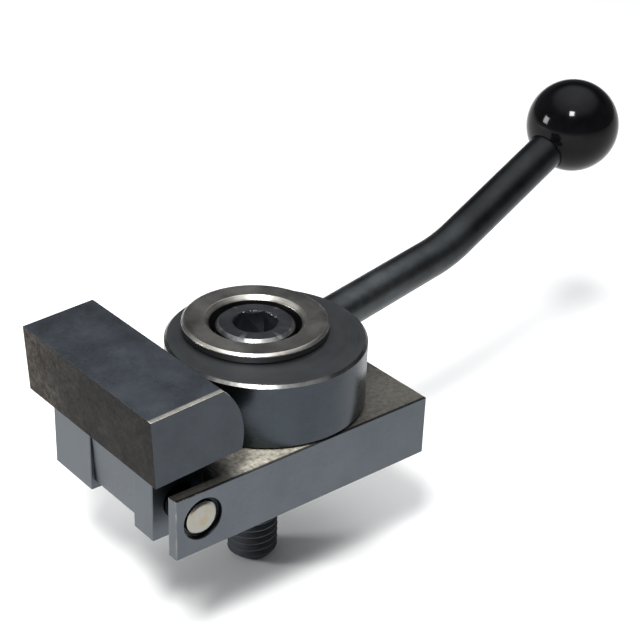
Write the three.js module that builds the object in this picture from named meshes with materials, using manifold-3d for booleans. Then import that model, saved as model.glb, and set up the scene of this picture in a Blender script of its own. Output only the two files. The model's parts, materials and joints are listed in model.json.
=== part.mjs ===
// Cam-lever edge clamp, in millimetres, +Z up.
// The origin is on the clamp screw's axis at the level of the base's underside.
// The jaw stands at the -X end, and the lever points towards +X.

import * as THREE from 'three';
import { mergeVertices } from 'three/addons/utils/BufferGeometryUtils.js';
import Module from 'manifold-3d';

const wasm = await Module();
wasm.setup();

// Clearances
const SEAT_GAP = 0.2; // between faces that rest on each other
const PRESS_GAP = 0.1; // around a pin pressed into its hole
const RUN_GAP = 0.2; // around a part that turns or slides
const CAM_GAP = 0.3; // between the cam disc and its neighbours

// Base block
const BASE_FRONT_X = -42.6;
const BASE_BACK_X = 30.9;
const BASE_NEAR_Y = -27.8;
const BASE_FAR_Y = 22.2;
const BASE_TOP_Z = 15.6;
const BOLT_HOLE_R = 6.75;

// Slots in the base's jaw end
const TONGUE_SLOT_NEAR_Y = -11.2;
const TONGUE_SLOT_FAR_Y = 6.6;
const TONGUE_SLOT_END_X = -27.1;
const SIDE_SLOT_NEAR_Y = -24.8;
const SIDE_SLOT_FAR_Y = -18.7;
const SIDE_SLOT_END_X = -28.9;

// Pivot pin of the jaw
const PIN_X = -35.4;
const PIN_Z = 8.5;
const PIN_R = 4.05;
const PIN_CHAMFER = 0.8;
const PIN_SET_BACK = 0.2;
const THIN_ARM_HOLE_R = 5.1;

// Swing jaw, measured from its pivot before it is tilted
const JAW_TILT = THREE.MathUtils.degToRad(3.3);
const JAW_NEAR_Y = -27.8;
const JAW_FAR_Y = 23.1;
const JAW_FRONT_X = -11.5;
const JAW_BOTTOM_Z = 13.4;
const JAW_TOP_Z = 30.1;
const JAW_BACK_R = 17;
const JAW_BACK_CENTRE_X = -4.9;
const JAW_BACK_CENTRE_Z = 18;
const JAW_HEEL_CHAMFER = 1.4;
const TONGUE_FRONT_X = -6.4;
const TONGUE_BACK_X = 5.2;
const TONGUE_BOTTOM_Z = -7.5;
const TONGUE_CHAMFER = 1.5;
const TONGUE_SIDE_GAP = 0.25;
const JAW_PIN_HOLE_R = 4.25;

// Return spring and its plunger, in a bore behind the tongue
const PLUNGER_Z = 4;
const PLUNGER_R = 2.1;
const PLUNGER_TIP_X = -29.6;
const PLUNGER_LENGTH = 6.6;
const SPRING_BORE_R = 2.35;
const SPRING_BORE_END_X = -14.9;
const SPRING_WIRE_R = 0.28;
const SPRING_R = 1.75;
const SPRING_TURNS = 6.5;

// Cam disc
const CAM_R = 24;
const CAM_THROW = 4.2;
const CAM_TOP_Z = 32.1;
const CAM_CHAMFER = 0.8;

// Flanged hub
const HUB_SLEEVE_R = 13.5;
const HUB_FLANGE_R = 17.6;
const HUB_TOP_Z = 34.5;
const HUB_CHAMFER = 0.7;
const COUNTERBORE_R = 11.1;
const COUNTERBORE_Z = 20.6;

// Clamp screw, 1/2 inch socket head
const SCREW_R = 6.35;
const SCREW_END_Z = -32.3;
const SCREW_END_CHAMFER = 1.2;
const SCREW_HEAD_R = 9.5;
const SCREW_HEAD_HEIGHT = 12.6;
const SCREW_HEAD_CHAMFER = 0.8;
const HEX_ACROSS_FLATS = 9.6;
const HEX_DEPTH = 6.4;

// Lever: two straight runs joined by one bend, in a vertical plane through the screw's axis
const LEVER_AZIMUTH = THREE.MathUtils.degToRad(3);
const LEVER_Z = 23.3;
const LEVER_RISE_1 = THREE.MathUtils.degToRad(8.6);
const LEVER_RISE_2 = THREE.MathUtils.degToRad(25.4);
const LEVER_R = 5;
const LEVER_START = 15.2;
const LEVER_BEND_X = 64.6;
const LEVER_BEND_RUN = 5.2; // from the bend's corner to where each straight run begins
const LEVER_HOLE_END = 15;
const LEVER_TIP_R = 3;

// Ball knob, measured along the lever's upper run
const KNOB_R = 12.5;
const KNOB_X = 113.3;
const KNOB_SOCKET_R = 5.2;
const LEVER_SHOULDER = -9.5;
const LEVER_TIP_END = 0.5;
const INSERT_R = 4.4;
const INSERT_START = -9.1;
const INSERT_END = 2.9;
const INSERT_BORE_R = 3.15;

const FINE = 72; // sides of a large circle
const MEDIUM = 48; // sides of a small circle
const COARSE = 24; // sides of a hidden or slender round

// ---- Solids ----

function toSolid(geometry) {
  const bare = geometry.clone();
  bare.deleteAttribute('normal');
  bare.deleteAttribute('uv');
  const merged = mergeVertices(bare, 1e-4);
  const vertProperties = new Float32Array(merged.attributes.position.array);
  const triVerts = new Uint32Array(merged.index.array);
  return new wasm.Manifold(new wasm.Mesh({ numProp: 3, vertProperties, triVerts }));
}

function toGeometry(solid) {
  const mesh = solid.getMesh();
  const geometry = new THREE.BufferGeometry();
  geometry.setAttribute('position', new THREE.BufferAttribute(mesh.vertProperties, 3));
  geometry.setIndex(new THREE.BufferAttribute(mesh.triVerts, 1));
  geometry.computeVertexNormals();
  return geometry;
}

// A round solid on the Z axis from [radius, height] corners, given from the bottom up.
function turned(corners, sides) {
  const points = corners.map(([radius, height]) => new THREE.Vector2(radius, height));
  return toSolid(new THREE.LatheGeometry(points, sides).rotateX(Math.PI / 2));
}

// A cylinder along X, Y or Z between two places on that axis.
function rod(axis, radius, from, to, sides) {
  const geometry = new THREE.CylinderGeometry(radius, radius, to - from, sides);
  geometry.translate(0, (from + to) / 2, 0);
  if (axis === 'x') geometry.rotateZ(-Math.PI / 2);
  if (axis === 'z') geometry.rotateX(Math.PI / 2);
  return toSolid(geometry);
}

// A plan outline in X and Y, raised along Z.
function raised(shape, from, to) {
  const settings = { depth: to - from, bevelEnabled: false };
  const geometry = new THREE.ExtrudeGeometry(shape, settings);
  return toSolid(geometry.translate(0, 0, from));
}

// A side outline in X and Z, drawn out along Y.
function drawnAcross(shape, nearY, farY, curveSegments = 12) {
  const settings = { depth: farY - nearY, bevelEnabled: false, curveSegments };
  const geometry = new THREE.ExtrudeGeometry(shape, settings);
  return toSolid(geometry.rotateX(Math.PI / 2).translate(0, farY, 0));
}

function outline(corners) {
  return new THREE.Shape(corners.map(([x, y]) => new THREE.Vector2(x, y)));
}

function part(name, solid, material) {
  const mesh = new THREE.Mesh(toGeometry(solid), material);
  mesh.name = name;
  return mesh;
}

// ---- Materials ----

function steel(colour, roughness, metalness) {
  return new THREE.MeshStandardMaterial({ color: colour, roughness, metalness, flatShading: true });
}

const blackenedSteel = steel('#5b6068', 0.5, 0.85);
const forgedBlackSteel = steel('#4b4a4a', 0.6, 0.8);
const groundSteel = steel('#6a6765', 0.4, 0.95);
const polishedSteel = steel('#cfcdc8', 0.2, 1);
const screwBlack = steel('#26272a', 0.4, 0.8);
const leverBlack = steel('#2b2d2f', 0.35, 0.7);
const springSteel = steel('#8a8d90', 0.35, 1);
const brass = steel('#b08d4c', 0.35, 1);

function knobPlastic() {
  return new THREE.MeshStandardMaterial({ color: '#0c0c0e', roughness: 0.12, metalness: 0 });
}

// ---- Base ----

function baseBlock() {
  const plan = outline([
    [BASE_FRONT_X, BASE_NEAR_Y],
    [BASE_BACK_X, BASE_NEAR_Y],
    [BASE_BACK_X, BASE_FAR_Y],
    [BASE_FRONT_X, BASE_FAR_Y],
    [BASE_FRONT_X, TONGUE_SLOT_FAR_Y],
    [TONGUE_SLOT_END_X, TONGUE_SLOT_FAR_Y],
    [TONGUE_SLOT_END_X, TONGUE_SLOT_NEAR_Y],
    [BASE_FRONT_X, TONGUE_SLOT_NEAR_Y],
    [BASE_FRONT_X, SIDE_SLOT_FAR_Y],
    [SIDE_SLOT_END_X, SIDE_SLOT_FAR_Y],
    [SIDE_SLOT_END_X, SIDE_SLOT_NEAR_Y],
    [BASE_FRONT_X, SIDE_SLOT_NEAR_Y],
  ]);
  const boltHole = rod('z', BOLT_HOLE_R, -1, BASE_TOP_Z + 1, MEDIUM);
  const pinHole = rod('y', PIN_R + PRESS_GAP, SIDE_SLOT_NEAR_Y, BASE_FAR_Y + 1, MEDIUM);
  const thinArmHole = rod('y', THIN_ARM_HOLE_R, BASE_NEAR_Y - 1, SIDE_SLOT_NEAR_Y + 1, MEDIUM);
  const springBore = rod('x', SPRING_BORE_R, TONGUE_SLOT_END_X - 1, SPRING_BORE_END_X, COARSE);
  const block = raised(plan, 0, BASE_TOP_Z)
    .subtract(boltHole)
    .subtract(pinHole.translate([PIN_X, 0, PIN_Z]))
    .subtract(thinArmHole.translate([PIN_X, 0, PIN_Z]))
    .subtract(springBore.translate([0, tongueMiddleY(), PLUNGER_Z]));
  return part('base_block', block, blackenedSteel);
}

function tongueMiddleY() {
  return (TONGUE_SLOT_NEAR_Y + TONGUE_SLOT_FAR_Y) / 2;
}

// ---- Jaw ----

function jawOutline() {
  const topAngle = Math.asin((JAW_TOP_Z - JAW_BACK_CENTRE_Z) / JAW_BACK_R);
  const heelZ = JAW_BOTTOM_Z + JAW_HEEL_CHAMFER;
  const heelAngle = Math.asin((heelZ - JAW_BACK_CENTRE_Z) / JAW_BACK_R);
  const heelX = JAW_BACK_CENTRE_X + JAW_BACK_R * Math.cos(heelAngle);
  const shape = new THREE.Shape();
  shape.moveTo(JAW_FRONT_X, JAW_BOTTOM_Z);
  shape.lineTo(heelX - JAW_HEEL_CHAMFER, JAW_BOTTOM_Z);
  shape.lineTo(heelX, heelZ);
  shape.absarc(JAW_BACK_CENTRE_X, JAW_BACK_CENTRE_Z, JAW_BACK_R, heelAngle, topAngle, false);
  shape.lineTo(JAW_FRONT_X, JAW_TOP_Z);
  shape.closePath();
  return shape;
}

function tongueOutline() {
  return outline([
    [TONGUE_FRONT_X + TONGUE_CHAMFER, TONGUE_BOTTOM_Z],
    [TONGUE_BACK_X - TONGUE_CHAMFER, TONGUE_BOTTOM_Z],
    [TONGUE_BACK_X, TONGUE_BOTTOM_Z + TONGUE_CHAMFER],
    [TONGUE_BACK_X, JAW_BOTTOM_Z + 1],
    [TONGUE_FRONT_X, JAW_BOTTOM_Z + 1],
    [TONGUE_FRONT_X, TONGUE_BOTTOM_Z + TONGUE_CHAMFER],
  ]);
}

function swingJaw() {
  const tongueNearY = TONGUE_SLOT_NEAR_Y + TONGUE_SIDE_GAP;
  const tongueFarY = TONGUE_SLOT_FAR_Y - TONGUE_SIDE_GAP;
  const pinHole = rod('y', JAW_PIN_HOLE_R, tongueNearY - 1, tongueFarY + 1, MEDIUM);
  const solid = drawnAcross(jawOutline(), JAW_NEAR_Y, JAW_FAR_Y, 16)
    .add(drawnAcross(tongueOutline(), tongueNearY, tongueFarY))
    .subtract(pinHole);
  const jaw = part('swing_jaw', solid, forgedBlackSteel);
  jaw.position.set(PIN_X, 0, PIN_Z);
  jaw.rotation.y = -JAW_TILT;
  return jaw;
}

function pivotPin() {
  const near = BASE_NEAR_Y + PIN_SET_BACK;
  const far = BASE_FAR_Y - PIN_SET_BACK;
  const corners = [
    [0, near],
    [PIN_R - PIN_CHAMFER, near],
    [PIN_R, near + PIN_CHAMFER],
    [PIN_R, far - PIN_CHAMFER],
    [PIN_R - PIN_CHAMFER, far],
    [0, far],
  ];
  const pin = part('pivot_pin', turned(corners, MEDIUM), polishedSteel);
  pin.position.set(PIN_X, 0, PIN_Z);
  pin.rotation.x = -Math.PI / 2;
  return pin;
}

// ---- Return spring ----

function springPlunger() {
  const corners = [[0, 0]];
  const domeSteps = 6;
  for (let i = 1; i <= domeSteps; i++) {
    const angle = (i / domeSteps) * (Math.PI / 2);
    corners.push([PLUNGER_R * Math.sin(angle), PLUNGER_R * (1 - Math.cos(angle))]);
  }
  corners.push([PLUNGER_R, PLUNGER_LENGTH]);
  corners.push([0, PLUNGER_LENGTH]);
  const plunger = part('spring_plunger', turned(corners, COARSE), springSteel);
  plunger.position.set(PLUNGER_TIP_X, tongueMiddleY(), PLUNGER_Z);
  plunger.rotation.y = Math.PI / 2;
  return plunger;
}

class Helix extends THREE.Curve {
  constructor(radius, turns, length) {
    super();
    this.radius = radius;
    this.turns = turns;
    this.length = length;
  }

  getPoint(t, target = new THREE.Vector3()) {
    const angle = 2 * Math.PI * this.turns * t;
    const across = this.radius * Math.cos(angle);
    const up = this.radius * Math.sin(angle);
    return target.set(this.length * t, across, up);
  }
}

function returnSpring() {
  const startX = PLUNGER_TIP_X + PLUNGER_LENGTH + SEAT_GAP + SPRING_WIRE_R;
  const endX = SPRING_BORE_END_X - SEAT_GAP - SPRING_WIRE_R;
  const section = new THREE.Shape();
  section.absarc(0, 0, SPRING_WIRE_R, 0, 2 * Math.PI, false);
  const settings = {
    steps: Math.round(SPRING_TURNS * 14),
    curveSegments: 4,
    extrudePath: new Helix(SPRING_R, SPRING_TURNS, endX - startX),
  };
  const coil = toSolid(new THREE.ExtrudeGeometry(section, settings));
  const spring = part('return_spring', coil, springSteel);
  spring.position.set(startX, tongueMiddleY(), PLUNGER_Z);
  return spring;
}

// ---- Hub and screw ----

function hubBushing() {
  const bottom = BASE_TOP_Z + SEAT_GAP;
  const flangeBottom = CAM_TOP_Z + CAM_GAP;
  const body = turned([
    [0, bottom],
    [HUB_SLEEVE_R, bottom],
    [HUB_SLEEVE_R, flangeBottom],
    [HUB_FLANGE_R, flangeBottom],
    [HUB_FLANGE_R, HUB_TOP_Z - HUB_CHAMFER],
    [HUB_FLANGE_R - HUB_CHAMFER, HUB_TOP_Z],
    [0, HUB_TOP_Z],
  ], FINE);
  const counterbore = turned([
    [0, COUNTERBORE_Z],
    [COUNTERBORE_R, COUNTERBORE_Z],
    [COUNTERBORE_R, HUB_TOP_Z - HUB_CHAMFER],
    [COUNTERBORE_R + 2 * HUB_CHAMFER, HUB_TOP_Z + HUB_CHAMFER],
    [0, HUB_TOP_Z + HUB_CHAMFER],
  ], FINE);
  const hole = rod('z', BOLT_HOLE_R, bottom - 1, COUNTERBORE_Z + 1, MEDIUM);
  return part('hub_bushing', body.subtract(counterbore).subtract(hole), groundSteel);
}

function hexSocket(fromZ, toZ) {
  const radius = HEX_ACROSS_FLATS / Math.sqrt(3);
  return rod('z', radius, fromZ, toZ, 6);
}

function clampScrew() {
  const headBottom = COUNTERBORE_Z + SEAT_GAP;
  const headTop = headBottom + SCREW_HEAD_HEIGHT;
  const body = turned([
    [0, SCREW_END_Z],
    [SCREW_R - SCREW_END_CHAMFER, SCREW_END_Z],
    [SCREW_R, SCREW_END_Z + SCREW_END_CHAMFER],
    [SCREW_R, headBottom],
    [SCREW_HEAD_R, headBottom],
    [SCREW_HEAD_R, headTop - SCREW_HEAD_CHAMFER],
    [SCREW_HEAD_R - SCREW_HEAD_CHAMFER, headTop],
    [0, headTop],
  ], MEDIUM);
  const screw = body.subtract(hexSocket(headTop - HEX_DEPTH, headTop + 1));
  return part('clamp_screw', screw, screwBlack);
}

// ---- Cam and lever ----

function camDisc() {
  const bottom = BASE_TOP_Z + CAM_GAP;
  const disc = turned([
    [0, bottom],
    [CAM_R - CAM_CHAMFER, bottom],
    [CAM_R, bottom + CAM_CHAMFER],
    [CAM_R, CAM_TOP_Z - CAM_CHAMFER],
    [CAM_R - CAM_CHAMFER, CAM_TOP_Z],
    [0, CAM_TOP_Z],
  ], FINE);
  const bore = rod('z', HUB_SLEEVE_R + RUN_GAP, bottom - 1, CAM_TOP_Z + 1, FINE);
  const leverHole = rod('x', LEVER_R + PRESS_GAP, LEVER_HOLE_END, CAM_R * 2, COARSE)
    .rotate([0, -THREE.MathUtils.radToDeg(LEVER_RISE_1), 0])
    .rotate([0, 0, THREE.MathUtils.radToDeg(LEVER_AZIMUTH)])
    .translate([0, 0, LEVER_Z]);
  const solid = disc
    .translate([0, -CAM_THROW, 0])
    .subtract(bore)
    .subtract(leverHole);
  return part('cam_disc', solid, blackenedSteel);
}

// A point of the lever's centre line, in the lever's own upright plane.
function onLowerRun(along) {
  const x = along * Math.cos(LEVER_RISE_1);
  const z = along * Math.sin(LEVER_RISE_1);
  return new THREE.Vector3(x, 0, z);
}

function bendCorner() {
  return onLowerRun(LEVER_BEND_X / Math.cos(LEVER_RISE_1));
}

function onUpperRun(fromCorner) {
  const step = new THREE.Vector3(Math.cos(LEVER_RISE_2), 0, Math.sin(LEVER_RISE_2));
  return bendCorner().addScaledVector(step, fromCorner);
}

function knobDistance() {
  return (KNOB_X - LEVER_BEND_X) / Math.cos(LEVER_RISE_2);
}

// Puts a solid made along Z on the upper run, with its zero at the ball's centre.
function alongUpperRun(solid) {
  const centre = onUpperRun(knobDistance());
  const turn = 90 - THREE.MathUtils.radToDeg(LEVER_RISE_2);
  return solid.rotate([0, turn, 0]).translate([centre.x, centre.y, centre.z]);
}

function leverPath() {
  const start = onLowerRun(LEVER_START);
  const lowerEnd = onLowerRun(bendCorner().length() - LEVER_BEND_RUN);
  const upperStart = onUpperRun(LEVER_BEND_RUN);
  const end = onUpperRun(knobDistance() + LEVER_SHOULDER);
  const path = new THREE.CurvePath();
  path.add(new THREE.LineCurve3(start, lowerEnd));
  path.add(new THREE.QuadraticBezierCurve3(lowerEnd, bendCorner(), upperStart));
  path.add(new THREE.LineCurve3(upperStart, end));
  return path;
}

function leverRod() {
  const section = new THREE.Shape();
  section.absarc(0, 0, LEVER_R, 0, 2 * Math.PI, false);
  const settings = { steps: 28, curveSegments: COARSE / 2, extrudePath: leverPath() };
  const bar = toSolid(new THREE.ExtrudeGeometry(section, settings));
  const tip = rod('z', LEVER_TIP_R, LEVER_SHOULDER - 1, LEVER_TIP_END, COARSE);
  return part('lever_rod', bar.add(alongUpperRun(tip)), leverBlack);
}

function ballKnob() {
  const ball = toSolid(new THREE.SphereGeometry(KNOB_R, 32, 18).rotateX(Math.PI / 2));
  const shoulderEnd = LEVER_SHOULDER + SEAT_GAP;
  const socket = rod('z', KNOB_SOCKET_R, -2 * KNOB_R, shoulderEnd, COARSE);
  const insertHole = rod('z', INSERT_R + PRESS_GAP, -KNOB_R, INSERT_END + SEAT_GAP, COARSE);
  const solid = ball.subtract(socket).subtract(insertHole);
  return part('ball_knob', alongUpperRun(solid), knobPlastic());
}

function knobInsert() {
  const bush = rod('z', INSERT_R, INSERT_START, INSERT_END, COARSE);
  const bore = rod('z', INSERT_BORE_R, INSERT_START - 1, INSERT_END + 1, COARSE);
  return part('knob_insert', alongUpperRun(bush.subtract(bore)), brass);
}

function lever() {
  const group = new THREE.Group();
  group.position.z = LEVER_Z;
  group.rotation.z = LEVER_AZIMUTH;
  group.add(leverRod(), ballKnob(), knobInsert());
  return group;
}

// ---- The whole clamp ----

const clamp = new THREE.Group();
clamp.add(baseBlock(), swingJaw(), pivotPin(), springPlunger(), returnSpring());
clamp.add(hubBushing(), clampScrew(), camDisc(), lever());

export default clamp;
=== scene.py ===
"""Cam-lever edge clamp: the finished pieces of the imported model, their finishes and a small studio.

The file is laid out as an add-on and is run as a script. Lengths are in metres, and the
origin is on the clamp screw's axis at the level of the base's underside.
"""

import json
import math

import bpy
from mathutils import Matrix, Vector


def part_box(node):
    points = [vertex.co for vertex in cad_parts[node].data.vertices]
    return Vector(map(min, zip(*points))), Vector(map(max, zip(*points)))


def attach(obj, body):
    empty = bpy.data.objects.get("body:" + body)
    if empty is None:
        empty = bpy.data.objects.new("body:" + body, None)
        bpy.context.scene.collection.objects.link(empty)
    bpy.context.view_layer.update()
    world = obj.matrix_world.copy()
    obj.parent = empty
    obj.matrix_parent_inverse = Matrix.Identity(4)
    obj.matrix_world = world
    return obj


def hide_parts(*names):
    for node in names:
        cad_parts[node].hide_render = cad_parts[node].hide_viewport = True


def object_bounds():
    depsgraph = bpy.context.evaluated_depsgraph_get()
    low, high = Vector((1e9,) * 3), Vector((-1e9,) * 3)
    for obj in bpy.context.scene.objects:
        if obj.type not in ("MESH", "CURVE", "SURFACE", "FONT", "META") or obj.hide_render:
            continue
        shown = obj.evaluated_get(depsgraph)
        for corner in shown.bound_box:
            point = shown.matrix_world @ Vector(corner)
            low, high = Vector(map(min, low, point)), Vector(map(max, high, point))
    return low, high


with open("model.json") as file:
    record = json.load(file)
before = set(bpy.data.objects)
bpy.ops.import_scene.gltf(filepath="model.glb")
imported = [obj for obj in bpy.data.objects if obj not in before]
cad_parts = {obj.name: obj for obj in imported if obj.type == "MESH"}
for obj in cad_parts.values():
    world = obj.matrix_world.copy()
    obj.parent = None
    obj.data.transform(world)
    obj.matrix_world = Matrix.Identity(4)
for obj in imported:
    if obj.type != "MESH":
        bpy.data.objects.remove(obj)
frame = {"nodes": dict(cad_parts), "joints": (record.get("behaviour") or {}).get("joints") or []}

bl_info = {
    "name": "Cam-Lever Edge Clamp",
    "version": (1, 0, 0),
    "blender": (4, 5, 0),
    "location": "3D View > Sidebar > Edge Clamp",
    "description": "Builds the pieces, finishes and studio of a cam-lever edge clamp",
    "category": "Object",
}

MM = 0.001
TOUCHING = 0.001 * MM
CAD_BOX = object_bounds()

BASE_LOW, BASE_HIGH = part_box("base_block")
JAW_LOW, JAW_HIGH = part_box("swing_jaw")
PIN_LOW, PIN_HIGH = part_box("pivot_pin")
CAM_LOW, CAM_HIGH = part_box("cam_disc")
HUB_LOW, HUB_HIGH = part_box("hub_bushing")
SCREW_LOW, SCREW_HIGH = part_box("clamp_screw")
KNOB_LOW, KNOB_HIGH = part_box("ball_knob")

CAM_TOP = CAM_HIGH.z + 0.5 * MM
HUB_TOP = HUB_HIGH.z + 0.6 * MM
SCREW_TOP = SCREW_HIGH.z + 0.8 * MM
PIVOT = Vector(next(j["pos_m"] for j in frame["joints"] if j["name"] == "jaw_tilt"))
CAM_CENTRE = (CAM_LOW + CAM_HIGH) / 2
CAM_R = (CAM_HIGH.x - CAM_LOW.x) / 2
HUB_FLANGE_R = (HUB_HIGH.x - HUB_LOW.x) / 2
SCREW_HEAD_R = (SCREW_HIGH.x - SCREW_LOW.x) / 2
PIN_R = (PIN_HIGH.x - PIN_LOW.x) / 2
KNOB_CENTRE = (KNOB_LOW + KNOB_HIGH) / 2
KNOB_R = (KNOB_HIGH.y - KNOB_LOW.y) / 2

X = Vector((1, 0, 0))
Y = Vector((0, 1, 0))
Z = Vector((0, 0, 1))


# ---- Colours ----

def linear(hex_colour):
    """An sRGB hex colour as linear red, green, blue and alpha."""
    parts = [int(hex_colour[i:i + 2], 16) / 255 for i in (1, 3, 5)]
    curve = [p / 12.92 if p <= 0.04045 else ((p + 0.055) / 1.055) ** 2.4 for p in parts]
    return (*curve, 1.0)


def length(name, description, millimetres):
    """A length that a user can change, in metres, with its default in millimetres."""
    return bpy.props.FloatProperty(
        name=name, description=description, default=millimetres * MM,
        min=0.0, unit="LENGTH", precision=5,
    )


def angle(name, description, degrees):
    """An angle that a user can change, with its default in degrees."""
    return bpy.props.FloatProperty(
        name=name, description=description, default=math.radians(degrees),
        subtype="ANGLE", unit="ROTATION",
    )


def colour(name, description, hex_colour):
    """A colour that a user can change."""
    return bpy.props.FloatVectorProperty(
        name=name, description=description, default=linear(hex_colour),
        size=4, min=0.0, max=1.0, subtype="COLOR",
    )


# ---- What a user can change ----

class ClampSizes(bpy.types.PropertyGroup):
    edge_break: length("Edge break", "Rounding of the ground edges", 0.45)
    bolt_hole_r: length("Bolt hole radius", "Radius of the hole for the clamp screw", 6.75)
    tongue_slot_near: length("Tongue slot, near side", "Below the screw's axis", 11.2)
    tongue_slot_far: length("Tongue slot, far side", "Above the screw's axis", 6.6)
    tongue_slot_depth: length("Tongue slot depth", "From the jaw end", 15.5)
    side_arm: length("Thin arm", "Thickness of the thin arm", 3.0)
    side_slot_width: length("Side slot width", "Gap behind the thin arm", 6.1)
    side_slot_depth: length("Side slot depth", "From the jaw end", 13.7)
    thin_arm_hole_r: length("Thin arm hole", "Radius of the clearance round the pin", 5.1)
    jaw_back_r: length("Jaw back radius", "Radius of the jaw's convex back", 17.0)
    cam_chamfer: length("Cam chamfer", "Chamfer of the cam disc's rims", 0.65)
    hub_chamfer: length("Hub chamfer", "Chamfer of the flange's rims", 0.6)
    hex_flats: length("Hex socket", "Distance across the socket's flats", 9.6)
    hex_depth: length("Hex depth", "Depth of the socket", 6.4)
    thread_pitch: length("Thread pitch", "Distance between the screw's threads", 1.954)
    lever_r: length("Lever radius", "Radius of the round lever", 5.0)
    jaw_lean: angle("Jaw lean", "Outward lean of the jaw at rest", 3.3)
    lever_azimuth: angle("Lever azimuth", "Direction of the lever at rest", 3.0)
    lever_rise_1: angle("Lower rise", "Rise of the lever's lower run", 8.6)
    lever_rise_2: angle("Upper rise", "Rise of the lever's upper run", 25.4)


class ClampColours(bpy.types.PropertyGroup):
    oxide: colour("Base oxide", "Black oxide on the ground base", "#53585D")
    # This colour marks oxide worn through to steel, and on the turned rims it is also a painted highlight
    # of the lamp.
    worn_steel_and_highlight: colour("Bare steel", "Steel where the oxide is rubbed off", "#F1ECDF")
    jaw: colour("Jaw oxide", "Dull oxide of the jaw", "#3E4247")
    cam: colour("Cam oxide", "Black oxide on the turned disc", "#3A3F44")
    # Painted light: the disc's top gets this lighter colour than its side, as light falling from above.
    cam_lit_top: colour("Cam top", "Duller oxide on the disc's top", "#5F6264")
    hub: colour("Hub", "Turned steel with a thin, worn oxide", "#93918D")
    screw: colour("Screw oxide", "Deep black oxide of the screw", "#62656A")
    lever: colour("Lever oxide", "Oiled black oxide of the lever", "#3F4244")
    pin: colour("Pin steel", "Polished end of the pin", "#8C8B85")
    knob: colour("Knob", "Black phenolic of the ball", "#060607")
    floor: colour("Floor", "Pale studio floor", "#F4F4F3")


class ClampStage(bpy.types.PropertyGroup):
    azimuth: angle("Camera azimuth", "0 looks along +Y", -40.6)
    elevation: angle("Camera elevation", "Above the horizon", 28.5)
    roll: angle("Camera roll", "Turn about the line of sight", 2.15)
    distance: length("Camera distance", "From the point it looks at", 383)
    focal_mm: bpy.props.FloatProperty(
        name="Focal length", description="Lens on a 36 mm sensor", default=89.4, subtype="DISTANCE_CAMERA",
    )


# ---- Modelling, as by hand ----

def deselect():
    """Leaves object mode active and nothing selected."""
    active = bpy.context.view_layer.objects.active
    if active and active.mode != "OBJECT":
        bpy.ops.object.mode_set(mode="OBJECT")
    bpy.ops.object.select_all(action="DESELECT")


def activate(obj):
    deselect()
    obj.select_set(True)
    bpy.context.view_layer.objects.active = obj


def settle(obj):
    """Puts a piece's place into its mesh, so that its object sits at the origin."""
    activate(obj)
    bpy.ops.object.transform_apply(location=True, rotation=True, scale=True)
    return obj


def place(obj, location=(0, 0, 0), rotation=(0, 0, 0)):
    obj.location = location
    obj.rotation_euler = rotation
    return settle(obj)


def facing(direction):
    """The turn that takes +Z to a direction."""
    return Vector(direction).to_track_quat("Z", "Y").to_euler()


def block(name, low, high):
    """A box between two corners."""
    deselect()
    low, high = Vector(low), Vector(high)
    bpy.ops.mesh.primitive_cube_add(size=1, location=(low + high) / 2)
    made = bpy.context.object
    made.name = name
    made.scale = high - low
    return settle(made)


def bar(name, radius, start, end, sides=96):
    """A round bar between two points."""
    deselect()
    start, end = Vector(start), Vector(end)
    bpy.ops.mesh.primitive_cylinder_add(
        vertices=sides, radius=radius, depth=(end - start).length,
        location=(start + end) / 2, rotation=facing(end - start),
    )
    made = bpy.context.object
    made.name = name
    return settle(made)


def combine(obj, other, operation):
    """Cuts, joins or intersects a piece with another, which is used up."""
    activate(obj)
    step = obj.modifiers.new(operation.lower(), "BOOLEAN")
    step.operation = operation
    step.solver = "EXACT"
    step.object = other
    bpy.ops.object.modifier_apply(modifier=step.name)
    bpy.data.objects.remove(other)
    if not obj.data.polygons:
        raise RuntimeError(f"{obj.name} has no faces left after {operation.lower()}")
    return obj


def select_edges(obj, test):
    """Opens edit mode with the edges selected whose two ends pass the test."""
    activate(obj)
    mesh = obj.data
    for element in (*mesh.vertices, *mesh.edges, *mesh.polygons):
        element.select = False
    picked = 0
    for edge in mesh.edges:
        ends = [mesh.vertices[i].co for i in edge.vertices]
        edge.select = test(ends[0], ends[1])
        picked += edge.select
    if not picked:
        raise RuntimeError(f"no edge of {obj.name} passes the test")
    bpy.ops.object.mode_set(mode="EDIT")
    bpy.ops.mesh.select_mode(type="EDGE")


def leave_edit():
    bpy.ops.object.mode_set(mode="OBJECT")


def edit_all():
    bpy.ops.object.mode_set(mode="EDIT")
    bpy.ops.mesh.select_all(action="SELECT")


def face_outward():
    bpy.ops.mesh.select_all(action="SELECT")
    bpy.ops.mesh.normals_make_consistent(inside=False)


def point_object(name, at):
    """An object of one selected vertex, left in edit mode."""
    deselect()
    bpy.ops.mesh.primitive_plane_add(size=MM)
    made = bpy.context.object
    made.name = name
    bpy.ops.object.mode_set(mode="EDIT")
    bpy.ops.mesh.select_mode(type="VERT")
    bpy.ops.mesh.select_all(action="SELECT")
    bpy.ops.mesh.merge(type="CENTER")
    bpy.ops.transform.translate(value=at)
    return made


def draw_section(name, corners):
    """A line through (radius, height) corners in the XZ plane, left in edit mode."""
    points = [Vector((radius, 0, height)) for radius, height in corners]
    made = point_object(name, points[0])
    for here, there in zip(points, points[1:]):
        bpy.ops.mesh.extrude_vertices_move(TRANSFORM_OT_translate={"value": there - here})
    bpy.ops.mesh.select_all(action="SELECT")
    return made


def turned(name, corners, steps=128):
    """A lathe-turned solid on the Z axis. Its corners start and end on the axis, or close."""
    made = draw_section(name, corners)
    bpy.ops.mesh.spin(steps=steps, angle=2 * math.pi, center=(0, 0, 0), axis=(0, 0, 1))
    bpy.ops.mesh.select_all(action="SELECT")
    bpy.ops.mesh.remove_doubles(threshold=TOUCHING)
    face_outward()
    leave_edit()
    return settle(made)


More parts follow.
